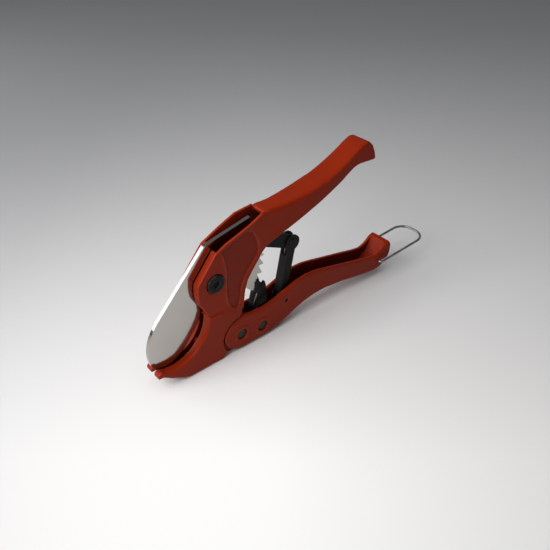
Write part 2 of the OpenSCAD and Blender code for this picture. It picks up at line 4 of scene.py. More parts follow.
import bmesh
import bpy
from bpy.props import FloatProperty, FloatVectorProperty, IntProperty, PointerProperty
from bpy.types import Operator, Panel, PropertyGroup
from mathutils import Matrix, Vector
from mathutils.bvhtree import BVHTree


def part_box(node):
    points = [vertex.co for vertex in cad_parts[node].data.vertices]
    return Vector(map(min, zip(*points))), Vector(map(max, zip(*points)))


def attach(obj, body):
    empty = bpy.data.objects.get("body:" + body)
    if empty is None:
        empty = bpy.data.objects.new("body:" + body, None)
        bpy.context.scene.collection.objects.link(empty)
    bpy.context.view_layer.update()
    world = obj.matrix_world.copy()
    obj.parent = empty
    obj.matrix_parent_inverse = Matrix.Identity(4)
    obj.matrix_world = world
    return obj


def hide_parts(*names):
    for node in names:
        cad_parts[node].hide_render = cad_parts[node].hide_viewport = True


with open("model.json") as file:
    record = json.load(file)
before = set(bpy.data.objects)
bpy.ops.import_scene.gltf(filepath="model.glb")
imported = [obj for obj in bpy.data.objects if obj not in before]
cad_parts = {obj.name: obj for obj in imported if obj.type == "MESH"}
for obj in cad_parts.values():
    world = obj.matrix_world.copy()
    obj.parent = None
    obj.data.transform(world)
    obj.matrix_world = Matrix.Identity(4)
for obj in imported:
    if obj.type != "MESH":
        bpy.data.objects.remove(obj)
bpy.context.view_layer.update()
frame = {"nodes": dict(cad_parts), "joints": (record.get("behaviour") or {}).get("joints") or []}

bl_info = {
    "name": "Pipe cutter looks",
    "version": (1, 0, 0),
    "blender": (4, 5, 0),
    "location": "View3D > Sidebar > Cutter",
    "description": "Finishes, wires, rivets and studio for a ratcheting pipe cutter",
    "category": "Object",
}

MM = 0.001

# Turning points from the frame, and the casting's stubs that hold the link
JOINTS = {joint["name"]: joint for joint in frame["joints"]}
PIVOT = Vector(JOINTS["blade_swing"]["pos_m"])
HINGE = Vector(JOINTS["handle_squeeze"]["pos_m"])
PAWL_AT = Vector(JOINTS["pawl_tilt"]["pos_m"])
ARM_AT = Vector(JOINTS["arm_fold"]["pos_m"])
KNUCKLE = Vector(JOINTS["link_fold"]["pos_m"])
BAIL_AT = Vector(JOINTS["bail_swing"]["pos_m"])
STUB_AT = PIVOT + Vector((43.0, 0.0, 17.0)) * MM

# Forms of the castings in millimetres: distances from the middle plane
CHEEK_FACE = 8.25
WINDOW_WALL = 6.3
SLOT_WALL = 2.4
LUG_FACE = 5.0
# Outlines seen from the side in millimetres: along X and up, from the blade's pivot
PANEL = (
    (6.8, 24.1), (18.0, 28.6), (29.0, 32.2), (34.8, 30.2), (38.2, 22.0), (39.6, 14.5), (38.6, 10.2),
    (34.9, 5.6), (29.6, -0.1), (25.1, -6.3), (22.4, -14.2), (21.1, -22.1), (19.6, -29.0), (16.8, -31.0),
    (13.2, -28.6), (10.2, -21.7), (9.4, -14.0), (9.8, -5.0), (10.4, 6.0), (9.2, 14.5),
)
FAR_RIM = (
    (-17.4, -8.0), (-18.2, 0.0), (-17.4, 5.8), (0.0, 26.8), (15.0, 34.2), (30.0, 40.4), (44.0, 41.8),
    (46.0, 41.9), (46.0, 38.6), (30.0, 37.2), (14.0, 30.9), (1.5, 24.0), (-13.5, 5.0), (-14.0, -8.0),
)
REAR_EDGE = (
    (41.4, 6.2), (37.2, 1.2), (32.4, -4.9), (28.9, -10.0), (26.1, -18.3), (24.5, -27.9), (24.0, -34.0),
    (21.6, -34.0), (22.2, -24.0), (26.6, -10.4), (35.2, 2.6),
)
# The same from the hinge
LUG_HEEL = ((-22.0, -8.0), (-5.0, -9.0), (-7.2, -11.2), (-7.4, -14.6), (-9.5, -15.2), (-22.0, -15.2))
# Reach of the panel along X, and its depth
PANEL_FROM, PANEL_TO, PANEL_DEEP = 5.0, 42.0, 0.8
# Stations of the upper handle from the blade's pivot: along X, top, lower edge
GRIP_STATIONS = (
    (49.0, 41.9, 12.0), (62.0, 41.2, 17.0), (76.0, 40.9, 22.4), (90.0, 42.0, 28.0), (105.0, 45.7, 34.1),
    (120.0, 52.6, 40.7), (130.0, 58.6, 46.2), (136.0, 62.3, 48.9), (141.0, 65.0, 49.8), (146.0, 66.6, 49.6),
)
GRIP_TOP, GRIP_LOW = 1, 2

# View
IMAGE_SIDE = 550
CAMERA_AT = Vector((-0.2854, -0.306, 0.3382))
CAMERA_PITCH, CAMERA_YAW = math.radians(54.0), math.radians(40.0)
CAMERA_FOCAL_PIXELS = 620.0
SENSOR = 36.0


class CastingLooks(PropertyGroup):
    """Paint and surface of the two red castings"""
    paint: FloatVectorProperty(
        name="Paint", description="Colour of the sprayed paint", subtype="COLOR", size=3,
        min=0.0, max=1.0, default=(0.234, 0.0160, 0.0020))
    # Rim colour: thinner paint along the edges, with a painted highlight
    thin_paint_and_highlight: FloatVectorProperty(
        name="Thin paint", description="Colour along rims, where the paint is thinner", subtype="COLOR",
        size=3, min=0.0, max=1.0, default=(0.46, 0.050, 0.018))
    # Painted shade: dark colour painted into creases, seats, slots, channels and the sunk panel
    painted_shade: FloatVectorProperty(
        name="Grime", description="Colour in corners and seats", subtype="COLOR", size=3,
        min=0.0, max=1.0, default=(0.05, 0.0045, 0.002))
    rough: FloatProperty(
        name="Roughness", description="Mean roughness of the paint", min=0.1, max=1.0, default=0.40)
    grain: FloatProperty(
        name="Casting grain", description="Depth of the casting's grain under the paint",
        unit="LENGTH", default=0.10 * MM)
    voxel: FloatProperty(
        name="Skin size", description="Size of the faces that round the cast edges",
        unit="LENGTH", default=0.45 * MM)
    soften: IntProperty(
        name="Softening", description="Passes that round the cast edges", min=0, max=20, default=2)
    keep: FloatProperty(
        name="Kept faces", description="Share of the skin's faces that is kept", min=0.1, max=1.0,
        subtype="FACTOR", default=0.40)


class SteelLooks(PropertyGroup):
    """Finishes of the blade and the small steel pieces"""
    blade: FloatVectorProperty(
        name="Blade", description="Colour of the polished blade", subtype="COLOR", size=3,
        min=0.0, max=1.0, default=(0.45, 0.43, 0.41))
    oxide: FloatVectorProperty(
        name="Black oxide", description="Colour of the blackened plates and screw", subtype="COLOR",
        size=3, min=0.0, max=1.0, default=(0.0055, 0.0052, 0.0048))
    rivet: FloatVectorProperty(
        name="Rivets", description="Colour of the rivet heads", subtype="COLOR", size=3,
        min=0.0, max=1.0, default=(0.026, 0.023, 0.019))
    zinc: FloatVectorProperty(
        name="Zinc", description="Colour of the plated washers and wire", subtype="COLOR", size=3,
        min=0.0, max=1.0, default=(0.40, 0.40, 0.39))
    edge_break: FloatProperty(
        name="Edge break", description="Width of the broken edges on stamped pieces",
        unit="LENGTH", default=0.25 * MM)


class WireLooks(PropertyGroup):
    """Sizes of the wound and bent wires"""
    bail_d: FloatProperty(
        name="Bail wire", description="Diameter of the bail's wire", unit="LENGTH", default=2.2 * MM)
    pawl_d: FloatProperty(
        name="Pawl spring wire", description="Diameter of the pawl spring's wire", unit="LENGTH",
        default=0.9 * MM)
    knuckle_d: FloatProperty(
        name="Knuckle spring wire", description="Diameter of the knuckle spring's wire", unit="LENGTH",
        default=0.8 * MM)


class StageLooks(PropertyGroup):
    """Studio light and floor"""
    key: FloatProperty(
        name="Key", description="Power of the softbox on the left", unit="POWER", default=1.30)
    top: FloatProperty(
        name="Top", description="Power of the softbox overhead", unit="POWER", default=5.0)
    back: FloatProperty(
        name="Back", description="Power of the panel behind on the left", unit="POWER", default=6.0)
    ambient: FloatProperty(
        name="Ambient", description="Strength of the surrounding light", min=0.0, max=2.0, default=0.20)
    floor: FloatVectorProperty(
        name="Floor", description="Colour of the pale floor near the viewer", subtype="COLOR", size=3,
        min=0.0, max=1.0, default=(0.80, 0.787, 0.774))


class CutterLooks(PropertyGroup):
    """All looks of the cutter"""
    casting: PointerProperty(type=CastingLooks)
    steel: PointerProperty(type=SteelLooks)
    wire: PointerProperty(type=WireLooks)
    stage: PointerProperty(type=StageLooks)


class Flow:
    """One output socket; arithmetic on it adds Math nodes to its material."""

    def __init__(self, finish, socket):
        self.finish = finish
        self.socket = socket

    def maths(self, operation, first, second, clamp=False):
        """Adds one Math node with two inputs."""
        settings = {"operation": operation, "use_clamp": clamp}
        return self.finish.node("ShaderNodeMath", settings, {0: first, 1: second})

    def __add__(self, other):
        return self.maths("ADD", self, other)

    __radd__ = __add__

    def __sub__(self, other):
        return self.maths("SUBTRACT", self, other)

    def __rsub__(self, other):
        return self.maths("SUBTRACT", other, self)

    def __mul__(self, other):
        return self.maths("MULTIPLY", self, other)

    __rmul__ = __mul__

    def __truediv__(self, other):
        return self.maths("DIVIDE", self, other)

    def __rtruediv__(self, other):
        return self.maths("DIVIDE", other, self)

    def held(self):
        """The value kept between 0 and 1."""
        return self.maths("ADD", self, 0.0, clamp=True)


class Finish:
    """A material with one surface shader, and the one method that adds nodes to it."""

    def __init__(self, name):
        self.material = bpy.data.materials.new(name)
        self.material.use_nodes = True
        self.tree = self.material.node_tree
        self.tree.nodes.clear()
        output = self.tree.nodes.new("ShaderNodeOutputMaterial")
        self.surface = self.tree.nodes.new("ShaderNodeBsdfPrincipled")
        self.tree.links.new(self.surface.outputs[0], output.inputs[0])

    def node(self, kind, settings, sockets, out=0):
        """Adds a node of a kind with its settings and sockets, and gives one of its outputs."""
        made = self.tree.nodes.new(kind)
        for key, value in settings.items():
            setattr(made, key, value)
        for key, value in sockets.items():
            self.feed(made.inputs[key], value)
        return Flow(self, made.outputs[out])

    def feed(self, socket, value):
        """Links a socket to a flow, or sets it to a plain value."""
        if isinstance(value, Flow):
            self.tree.links.new(value.socket, socket)
        elif hasattr(value, "__len__") and len(value) == 3 and socket.type == "RGBA":
            socket.default_value = (*value, 1.0)
        else:
            socket.default_value = value

    def set(self, **sockets):
        """Feeds sockets of the surface shader, with _ for each space in their names."""
        for key, value in sockets.items():
            self.feed(self.surface.inputs[key.replace("_", " ")], value)

    def place(self, turn=(0.0, 0.0, 0.0), stretch=(1.0, 1.0, 1.0), centre=(0.0, 0.0, 0.0)):
        """Object coordinates seen from a centre, turned and stretched."""
        here = self.node("ShaderNodeTexCoord", {}, {}, "Object")
        moved = self.node("ShaderNodeVectorMath", {"operation": "SUBTRACT"}, {0: here, 1: tuple(centre)})
        return self.node("ShaderNodeMapping", {}, {"Vector": moved, "Rotation": turn, "Scale": stretch})

    def reach(self, where, direction):
        """How far a place lies along a direction."""
        settings = {"operation": "DOT_PRODUCT"}
        return self.node("ShaderNodeVectorMath", settings, {0: where, 1: direction}, "Value")

    def noise(self, where, scale, detail, rough=0.5):
        """Soft noise about 0.5."""
        sockets = {"Vector": where, "Scale": scale, "Detail": detail, "Roughness": rough}
        return self.node("ShaderNodeTexNoise", {}, sockets)

    def attribute(self, name):
        """A number that the mesh stores."""
        return self.node("ShaderNodeAttribute", {"attribute_name": name}, {}, "Fac")

    def mix(self, factor, first, second):
        """A colour between two others."""
        return self.node("ShaderNodeMix", {"data_type": "RGBA"}, {0: factor, 6: first, 7: second}, 2)

    def bump(self, height, depth, strength):
        """A normal that follows a height."""
        sockets = {"Strength": strength, "Distance": depth, "Height": height}
        return self.node("ShaderNodeBump", {}, sockets)


def red_paint(looks):
    """Satin paint on a sand-textured casting, lighter on rims for thinner paint and a painted highlight,
    with painted shade in creases, closed places and the sunk panel.
    """
    finish = Finish("red_paint")
    rim_from, crease_shade_from, closed_from = 0.56, 0.44, 0.76
    here = finish.place()
    drift = finish.noise(here, scale=38.0, detail=3.0)
    mottle = finish.noise(here, scale=420.0, detail=3.0, rough=0.6)
    grain = finish.noise(here, scale=1500.0, detail=2.0)
    edge = finish.attribute("edge")
    # Rim mask: thinner paint, with a painted highlight along the edges
    rim = ((edge - rim_from) * 5.0).held() * (0.35 + 0.65 * mottle)
    # Masks for painted shade: in creases, and in closed places from the openness
    crease_shade = ((crease_shade_from - edge) * 4.0).held()
    closed = ((closed_from - finish.attribute("open")) * 2.4).held()
    sunk = finish.attribute("sunk")
    shade = tuple(0.80 * c for c in looks.paint)
    colour = finish.mix((drift * 1.6 - 0.3).held(), shade, tuple(looks.paint))
    colour = finish.mix((0.35 * mottle).held(), colour, shade)
    # Lighter rims: thinner paint, with a painted highlight
    colour = finish.mix((0.75 * rim).held(), colour, tuple(looks.thin_paint_and_highlight))
    # Painted shade on the sunk panel's floor
    colour = finish.mix((0.26 * sunk).held(), colour, tuple(looks.painted_shade))
    # Painted shade in creases and closed places
    colour = finish.mix((0.55 * crease_shade + 0.85 * closed).held(), colour, tuple(looks.painted_shade))
    rough = looks.rough + 0.16 * (drift - 0.5) + 0.10 * (mottle - 0.5) + 0.18 * crease_shade - 0.06 * rim
    finish.set(Base_Color=colour, Roughness=rough.held())
    finish.set(Normal=finish.bump(0.65 * grain + 0.9 * mottle, depth=looks.grain, strength=0.55))
    finish.set(Coat_Weight=(0.30 * rim).held(), Coat_Roughness=0.25, Specular_IOR_Level=0.10)
    return finish.material


def polished_steel(looks, edge_turn, edge_offset, bevel):
    """Blade steel, ground along its length and finer on the bevel beside the cutting edge."""
    finish = Finish("blade_steel")
    turn = (0.0, edge_turn, 0.0)
    along = finish.place(turn=turn, stretch=(25.0, 400.0, 1800.0), centre=PIVOT)
    across = finish.place(turn=turn, stretch=(1500.0, 400.0, 40.0), centre=PIVOT)
    whole = finish.place(centre=PIVOT)
    lines = finish.noise(along, scale=1.0, detail=4.0, rough=0.6)
    strokes = finish.noise(across, scale=1.0, detail=3.0, rough=0.6)
    cloud = finish.noise(whole, scale=60.0, detail=3.0)
    upright = edge_turn + math.pi / 2
    normal = (math.cos(upright), 0.0, math.sin(upright))
    height = finish.reach(whole, normal)
    ground_fade = 0.6 * MM
    ground = ((height - (edge_offset - bevel)) / ground_fade).held()
    tone = (0.30 + 0.7 * cloud).held()
    dull = tuple(0.86 * c for c in looks.blade)
    colour = finish.mix(tone, dull, tuple(looks.blade))
    rough = 0.06 + 0.05 * lines + 0.06 * cloud + ground * (0.03 + 0.05 * strokes)
    finish.set(Base_Color=colour, Roughness=rough.held(), Metallic=1.0)
    finish.set(Normal=finish.bump(lines + ground * strokes, depth=0.004 * MM, strength=0.25))
    return finish.material


def black_oxide(looks):
    """Blackened sheet steel with an oily sheen and bare metal on its worn edges."""
    finish = Finish("black_oxide")
    bare_steel, rim_from, cloud_from = (0.20, 0.20, 0.19), 0.60, 0.42
    here = finish.place()
    cloud = finish.noise(here, scale=160.0, detail=3.0)
    fine = finish.noise(here, scale=2200.0, detail=2.0)
    edge = finish.attribute("edge")
    rim = ((edge - rim_from) * 3.0).held() * ((cloud - cloud_from) * 5.0).held()
    grey = tuple(c * 1.5 for c in looks.oxide)
    colour = finish.mix((cloud * 1.5 - 0.25).held(), tuple(looks.oxide), grey)
    colour = finish.mix((0.5 * rim).held(), colour, bare_steel)
    finish.set(Base_Color=colour, Roughness=(0.40 + 0.10 * cloud + 0.08 * fine).held())
    finish.set(Metallic=(0.08 + 0.6 * rim).held(), Specular_IOR_Level=0.12)
    finish.set(Normal=finish.bump(fine + 0.4 * cloud, depth=0.01 * MM, strength=0.4))
    return finish.material


def turned_steel(looks):
    """Dark rivet steel with faint rings from the head's turning."""
    finish = Finish("rivet_steel")
    here = finish.place()
    radius = finish.attribute("turned")
    ring_width = 0.55 * MM
    rings = finish.node("ShaderNodeMath", {"operation": "SINE"}, {0: radius * (2 * math.pi / ring_width)})
    cloud = finish.noise(here, scale=240.0, detail=3.0)
    fine = finish.noise(here, scale=1800.0, detail=2.0)
    bare = tuple(c * 2.2 for c in looks.rivet)
    colour = finish.mix((cloud * 1.8 - 0.5).held(), tuple(looks.rivet), bare)
    finish.set(Base_Color=colour, Roughness=(0.38 + 0.16 * cloud + 0.06 * rings).held(), Metallic=0.85)
    finish.set(Normal=finish.bump(0.35 * rings + fine, depth=0.02 * MM, strength=0.6))
    return finish.material


def zinc_plate(looks):
    """Dull plated steel with a fine spangle."""
    finish = Finish("zinc_plate")
    here = finish.place()
    cells = {"Vector": here, "Scale": 900.0}
    spangle = finish.node("ShaderNodeTexVoronoi", {"feature": "F1"}, cells, "Distance")
    cloud = finish.noise(here, scale=200.0, detail=3.0)
    dull = tuple(0.72 * c for c in looks.zinc)
    colour = finish.mix((cloud * 1.6 - 0.3).held(), dull, tuple(looks.zinc))
    finish.set(Base_Color=colour, Roughness=(0.26 + 0.16 * cloud + 0.12 * spangle).held(), Metallic=1.0)
    finish.set(Normal=finish.bump(spangle + cloud, depth=0.015 * MM, strength=0.4))
    return finish.material


def drawn_steel(looks):
    """Spring wire with die marks along its length and a few dark patches."""
    finish = Finish("drawn_wire")
    here = finish.place()
    drawn = finish.place(stretch=(60.0, 2400.0, 2400.0))
    marks = finish.noise(drawn, scale=1.0, detail=3.0)
    patch = finish.noise(here, scale=120.0, detail=3.0)
    dark = tuple(0.45 * c for c in looks.zinc)
    colour = finish.mix((patch * 2.2 - 0.55).held(), dark, tuple(looks.zinc))
    finish.set(Base_Color=colour, Roughness=(0.20 + 0.12 * marks + 0.12 * patch).held(), Metallic=1.0)
    finish.set(Normal=finish.bump(marks, depth=0.008 * MM, strength=0.5))
    return finish.material


def link_object(name, data):
    """A new object at the origin, in the scene."""
    made = bpy.data.objects.new(name, data)
    bpy.context.scene.collection.objects.link(made)
    return made


def merge_points(work, gap):
    """Joins points closer than a gap, and turns the faces outwards."""
    bmesh.ops.remove_doubles(work, verts=work.verts, dist=gap)
    bmesh.ops.recalc_face_normals(work, faces=work.faces)


def merged_copy(node):
    """A joined-up copy of a node's loose triangles, facing outwards."""
    work = bmesh.new()
    work.from_mesh(frame["nodes"][node].data)
    merge_points(work, gap=0.004 * MM)
    return work


def baked(made):
    """Turns an object's live modifiers into its plain mesh."""
    graph = bpy.context.evaluated_depsgraph_get()
    graph.update()
    mesh = bpy.data.meshes.new_from_object(made.evaluated_get(graph), depsgraph=graph)
    made.modifiers.clear()
    old = made.data
    made.data = mesh
    bpy.data.meshes.remove(old)
    mesh.name = made.name
    return made


def store(mesh, name, values):
    """Keeps one number for each point of a mesh, for its material to read."""
    layer = mesh.attributes.new(name, "FLOAT", "POINT")
    layer.data.foreach_set("value", values)


def mark_edges(mesh, reach, passes):
    """Stores how far each point stands out of its surroundings: over 0.5 on rims, under 0.5 in corners."""
    work = bmesh.new()
    work.from_mesh(mesh)
    work.verts.ensure_lookup_table()
    lean = []
    for vert in work.verts:
        total = 0.0
        for edge in vert.link_edges:
            other = edge.other_vert(vert)
            total -= (other.co - vert.co).dot(vert.normal)
        count = max(1, len(vert.link_edges))
        lean.append(max(-1.0, min(1.0, total / count / reach)))
    for _ in range(passes):
        spread = list(lean)
        for vert in work.verts:
            near = [lean[edge.other_vert(vert).index] for edge in vert.link_edges]
            if near:
                spread[vert.index] = 0.5 * lean[vert.index] + 0.5 * sum(near) / len(near)
        lean = spread
    work.free()
    store(mesh, "edge", [0.5 + 0.5 * value for value in lean])


def mark_open(mesh, reach, rays):
    """Stores how open each point lies: 1 on outer faces, near 0 deep in seats, slots and channels."""
    corners = [v.co.copy() for v in mesh.vertices]
    tree = BVHTree.FromPolygons(corners, [tuple(f.vertices) for f in mesh.polygons])
    lift = 0.25 * MM
    golden = math.pi * (3.0 - math.sqrt(5.0))
    fan = []
    for i in range(rays):
        rise = math.sqrt((i + 0.5) / rays)
        side = math.sqrt(1.0 - rise * rise)
        fan.append((side * math.cos(golden * i), side * math.sin(golden * i), rise))
    values = []
    for vert in mesh.vertices:
        up = vert.normal
        across = up.orthogonal().normalized()
        along = up.cross(across)
        start = vert.co + lift * up
        free = 0
        for a, b, c in fan:
            if tree.ray_cast(start, a * across + b * along + c * up, reach)[0] is None:
                free += 1
        values.append(free / rays)
    store(mesh, "open", values)


def clamped(value):
    """A number kept between 0 and 1."""
    return max(0.0, min(1.0, value))


def inset(outline, x, z):
    """Distance from a point to the nearest side of an outline, positive inside it."""
    inside, nearest = False, math.inf
    for (x0, z0), (x1, z1) in zip(outline, outline[1:] + outline[:1]):
        run, rise = x1 - x0, z1 - z0
        along = clamped(((x - x0) * run + (z - z0) * rise) / (run * run + rise * rise))
        nearest = min(nearest, math.hypot(x - x0 - along * run, z - z0 - along * rise))
        if (z0 > z) != (z1 > z) and x < x0 + (z - z0) * run / rise:
            inside = not inside
    return nearest if inside else -nearest


def smooth_step(share):
    """An eased rise from 0 to 1."""
    share = clamped(share)
    return share * share * (3.0 - 2.0 * share)


def sunk_panels(mesh):
    """Sinks the bare panel into both cheeks, close to their rear edges."""
    spare, outside, lead, wall = 0.3, -0.6, 0.35, 0.9
    lowest, highest = CHEEK_FACE - PANEL_DEEP - spare, CHEEK_FACE + spare
    for vert in mesh.vertices:
        here = (vert.co - PIVOT) / MM
        level = abs(here.y)
        if not lowest < level < highest or not PANEL_FROM < here.x < PANEL_TO:
            continue
        depth = inset(PANEL, here.x, here.z)
        if depth > outside:
            level = CHEEK_FACE - PANEL_DEEP * smooth_step((depth + lead) / wall)
            vert.co.y = math.copysign(level, here.y) * MM


def mark_sunk(mesh):
    """Stores where the bare panel sunk in each cheek lies."""
    spare = 0.2
    values = []
    for vert in mesh.vertices:
        here = (vert.co - PIVOT) / MM
        height = abs(abs(here.y) - CHEEK_FACE + PANEL_DEEP)
        on_floor = height < spare and PANEL_FROM < here.x < PANEL_TO
        values.append(1.0 if on_floor and inset(PANEL, here.x, here.z) > spare else 0.0)
    store(mesh, "sunk", values)


def add_ring(work, centre, inner, outer, y0, y1, steps=64):
    """Adds a closed ring about the Y axis to a mesh in work."""
    rows = []
    for i in range(steps):
        a = 2 * math.pi * i / steps
        row = []
        for radius, y in ((inner, y0), (outer, y0), (outer, y1), (inner, y1)):
            row.append(work.verts.new((centre.x + radius * math.cos(a), y, centre.z + radius * math.sin(a))))
        rows.append(row)
    for i in range(steps):
        first, second = rows[i], rows[(i + 1) % steps]
        for j in range(4):
            k = (j + 1) % 4
            work.faces.new((first[j], first[k], second[k], second[j]))


def add_prism(work, outline, y0, y1):
    """Adds a closed slab with a side-view outline to a mesh in work."""
    near = [work.verts.new((p.x, y0, p.z)) for p in outline]
    far = [work.verts.new((p.x, y1, p.z)) for p in outline]
    work.faces.new(near)
    work.faces.new(list(reversed(far)))
    for i in range(len(outline)):
        k = (i + 1) % len(outline)
        work.faces.new((near[k], near[i], far[i], far[k]))


def outline_from(centre, outline):
    """A side-view outline in millimetres, placed from a centre."""
    return [centre + Vector((x, 0.0, z)) * MM for x, z in outline]


def rivet_bosses(work):
    """Raised rims round the rivets' seats in the lower handle's walls."""
    inner, outer, foot, top = 4.8 * MM, 7.3 * MM, 7.6 * MM, 9.9 * MM
    for centre in (HINGE, PAWL_AT):
        for side in (-1.0, 1.0):
            add_ring(work, centre, inner, outer, side * foot, side * top)


def body_extras(work):
    """Web below the hinge lug, and full-thickness edges in front of the far cheek and behind both cheeks."""
    add_prism(work, outline_from(HINGE, LUG_HEEL), -LUG_FACE * MM, LUG_FACE * MM)
    add_prism(work, outline_from(PIVOT, FAR_RIM), WINDOW_WALL * MM, CHEEK_FACE * MM)
    for side in (-1.0, 1.0):
        add_prism(work, outline_from(PIVOT, REAR_EDGE), side * SLOT_WALL * MM, side * CHEEK_FACE * MM)


def station_values(x, column):
    """Height of a handle line at a place: along straight runs between stations, and along a smooth curve."""
    last = len(GRIP_STATIONS) - 1
    i = max(k for k in range(last) if k == 0 or GRIP_STATIONS[k][0] <= x)
    spots = [GRIP_STATIONS[max(0, min(last, k))] for k in (i - 1, i, i + 1, i + 2)]
    (x0, z0), (x1, z1), (x2, z2), (x3, z3) = [(spot[0], spot[column]) for spot in spots]
    run = x2 - x1
    share = (x - x1) / run
    slope1, slope2 = (z2 - z0) / (x2 - x0), (z3 - z1) / (x3 - x1)
    straight = z1 + (z2 - z1) * share
    bend = (slope1 * run - (z2 - z1)) * (1.0 - share) - (slope2 * run - (z2 - z1)) * share
    return straight, straight + share * (1.0 - share) * bend


def fuller_grip(mesh):
    """Runs the upper handle's lines smoothly, swells its middle and rounds the edges along its back."""
    swell_start, swell_length, rise, spread, fullness = 52.0, 83.0, 3.1, 0.18, 1.3
    fade_in, fade_out, below, roundness = 14.0, 5.0, -0.15, 6.0
    first_half, widening = CHEEK_FACE + 0.2, 0.0195
    back_start, back_slope, back_blend = 14.0, 0.42, 9.0
    first, end = GRIP_STATIONS[0][0], GRIP_STATIONS[-1][0]
    for vert in mesh.vertices:
        here = (vert.co - PIVOT) / MM
        if not first < here.x < end:
            continue
        top, top_curve = station_values(here.x, GRIP_TOP)
        low, low_curve = station_values(here.x, GRIP_LOW)
        height = (here.z - low) / (top - low)
        if height < below:
            continue
        fade = smooth_step((here.x - first) / fade_in) * smooth_step((end - here.x) / fade_out)
        shift = fade * (height * (top_curve - top) + (1.0 - height) * (low_curve - low))
        half = first_half + (here.x - first) * widening
        u, v = abs(here.y) / half, 2.0 * height - 1.0
        if v > 0.0:
            over = max(1.0, (u ** roundness + v ** roundness) ** (1.0 / roundness)) - 1.0
            shift -= fade * over / (1.0 + over) * v * (top - low) / 2.0
            vert.co.y *= 1.0 - fade * over / (1.0 + over)
        swell = math.sin(math.pi * clamped((here.x - swell_start) / swell_length)) ** fullness
        back = clamped((here.z - back_start - back_slope * (here.x - first)) / back_blend)
        vert.co.y *= 1.0 + spread * swell
        vert.co.z += (shift + rise * swell * back) * MM


def eased_root(mesh):
    """Lets the jaw's thicker root run out into the cheeks, crisp in front and soft at the rear."""
    corner, leg = Vector((13.3, 0.0, -27.0)), Vector((-0.683, 0.0, -0.731))
    front, rear, bottom, top, spare = -6.0, 27.0, -44.0, -24.0, 0.05
    step_r, crisp, soft, soft_from, soft_run = 27.0, 0.6, 7.0, -2.0, 11.0
    for vert in mesh.vertices:
        here = (vert.co - PIVOT) / MM
        level = abs(here.y)
        if level < CHEEK_FACE - spare or not front < here.x < rear or not bottom < here.z < top:
            continue
        below = min(math.hypot(here.x, here.z) - step_r, (here - corner).dot(leg))
        width = crisp + soft * smooth_step((here.x - soft_from) / soft_run)
        level = min(level, CHEEK_FACE + smooth_step(below / width))
        vert.co.y = math.copysign(level, here.y) * MM


def body_shape(mesh):
    """All the rounder forms of the body casting."""
    fuller_grip(mesh)
    sunk_panels(mesh)
    eased_root(mesh)


def raised_lip(mesh):
    """Lifts the top of the lip at the lower handle's end."""
    start, length, rise, foot, blend = 150.0, 15.0, 2.5, 4.5, 7.0
    for vert in mesh.vertices:
        here = (vert.co - HINGE) / MM
        upper = clamped((here.z - foot) / blend)
        vert.co.z += rise * smooth_step((here.x - start) / length) * upper * MM


def cast_skin(node, looks, material, extra, shape):
    """Rounds a casting all over, as a die casting's edges are, and marks its rims and corners."""
    mesh = bpy.data.meshes.new(node + "_cast")
    work = merged_copy(node)
    extra(work)
    bmesh.ops.recalc_face_normals(work, faces=work.faces)
    work.to_mesh(mesh)
    work.free()
    made = link_object(node + "_cast", mesh)
    skin = made.modifiers.new("skin", "REMESH")
    skin.mode = "VOXEL"
    skin.voxel_size = looks.voxel
    soft = made.modifiers.new("soft", "SMOOTH")
    soft.factor = 0.5
    soft.iterations = looks.soften
    baked(made)
    shape(made.data)
    thin = made.modifiers.new("thin", "DECIMATE")
    thin.ratio = looks.keep
    baked(made)
    mark_edges(made.data, reach=0.12 * MM, passes=3)
    mark_open(made.data, reach=22.0 * MM, rays=12)
    mark_sunk(made.data)
    made.data.shade_smooth()
    made.data.materials.clear()
    made.data.materials.append(material)
    return made


def splayed_pawl(work):
    """Spreads the pawl's flanges towards its tips, clear of the lower handle's walls."""
    start, length, widest = 7.0, 14.0, 5.45 * MM
    spread = widest / max(vert.co.y for vert in work.verts) - 1.0
    for share in (0.0, 0.25, 0.5, 0.75, 1.0):
        level = PAWL_AT + Vector((0.0, 0.0, start + share * length)) * MM
        everything = work.verts[:] + work.edges[:] + work.faces[:]
        bmesh.ops.bisect_plane(work, geom=everything, plane_co=level, plane_no=(0.0, 0.0, 1.0))
    for vert in work.verts:
        share = ((vert.co.z - PAWL_AT.z) / MM - start) / length
        vert.co.y *= 1.0 + spread * smooth_step(share)


def stamped_piece(node, looks, material, width=None):
    """A steel piece with its sharp edges broken, smooth between them."""
    flat, corner, crease = math.radians(0.6), math.radians(32), math.radians(40)
    plain_face, worn_face = 0.5, 0.85
    work = merged_copy(node)
    if node == "pawl":
        splayed_pawl(work)
    bmesh.ops.dissolve_limit(work, angle_limit=flat, verts=work.verts, edges=work.edges)
    sharp = [e for e in work.edges if len(e.link_faces) == 2 and e.calc_face_angle(0.0) > corner]
    rim = work.faces.layers.float.new("edge")
    for face in work.faces:
        face[rim] = plain_face
    broken = bmesh.ops.bevel(
        work, geom=sharp, offset=width or looks.edge_break, offset_type="OFFSET", segments=2,
        profile=0.6, affect="EDGES", clamp_overlap=True)
    for face in broken["faces"]:
        face[rim] = worn_face
    bmesh.ops.triangulate(work, faces=[f for f in work.faces if len(f.verts) > 4])
    mesh = bpy.data.meshes.new(node + "_piece")
    work.to_mesh(mesh)
    work.free()
    made = link_object(node + "_piece", mesh)
    mesh.shade_smooth()
    mesh.set_sharp_from_angle(angle=crease)
    mesh.materials.append(material)
    even = made.modifiers.new("even", "WEIGHTED_NORMAL")
    even.keep_sharp = True
    return baked(made)


def dressed(made, node, body):
    """Lets a piece move with a body and stand for a node."""
    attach(made, body)
    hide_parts(node)


def new_tree(name, inputs):
    """An empty node tree that takes and gives geometry, with more inputs by name and kind."""
    tree = bpy.data.node_groups.new(name, "GeometryNodeTree")
    for label, kind in {"Geometry": "Geometry", **inputs, "Finish": "Material"}.items():
        tree.interface.new_socket(label, in_out="INPUT", socket_type="NodeSocket" + kind)
    tree.interface.new_socket("Geometry", in_out="OUTPUT", socket_type="NodeSocketGeometry")
    return tree


